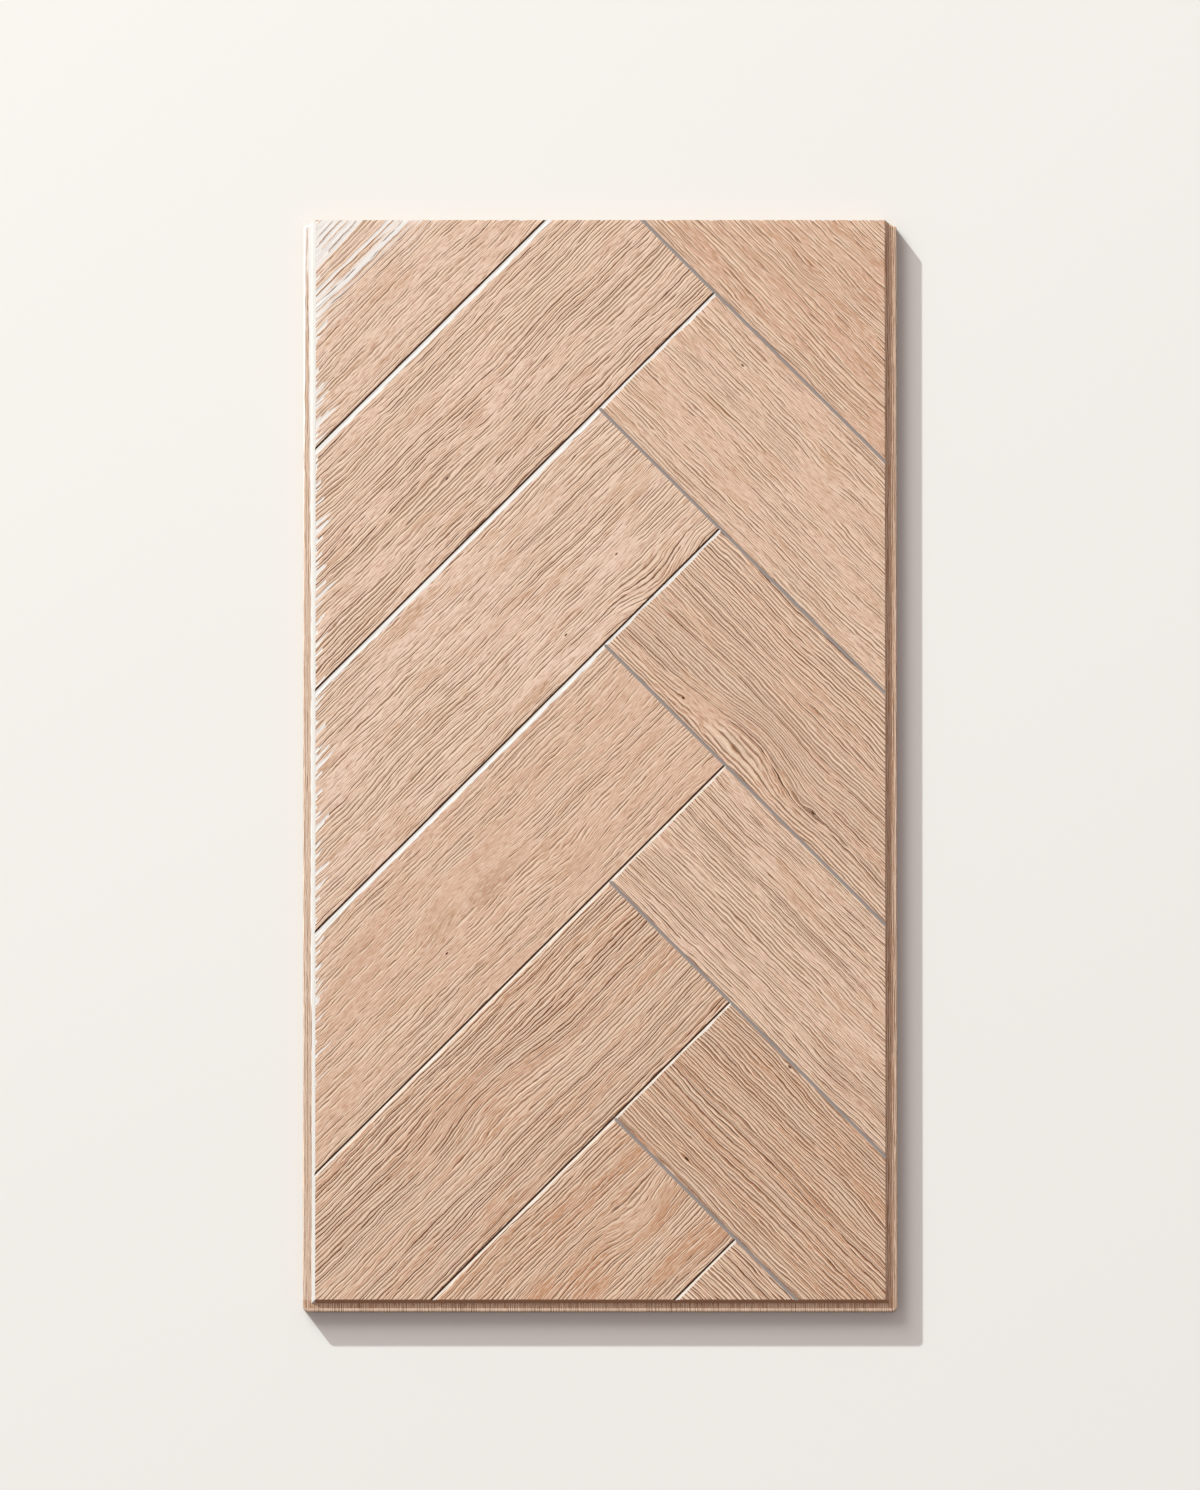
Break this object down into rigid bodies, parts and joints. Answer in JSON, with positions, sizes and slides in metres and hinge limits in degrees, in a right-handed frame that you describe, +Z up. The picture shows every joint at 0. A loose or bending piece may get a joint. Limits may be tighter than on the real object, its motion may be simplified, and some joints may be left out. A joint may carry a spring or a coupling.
{
  "type": "wood-look porcelain tile",
  "caption": "Rectangular porcelain tile with a herringbone wood-look face, V-grooved joints, a stepped rim on its long sides and near end, and a waffle back.",
  "frame": {"origin": "under the middle of the tile's whole outline, at the level its back rests on", "axes": "+Z up out of the printed face, +Y along the tile towards the end without a ledge, +X across it"},
  "size_m": [0.3292, 0.6066, 0.01],
  "materials": {
    "glazed_porcelain": "satin"
  },
  "bodies": {
    "root": {"porcelain_tile": "glazed_porcelain"}
  },
  "joints": []
}
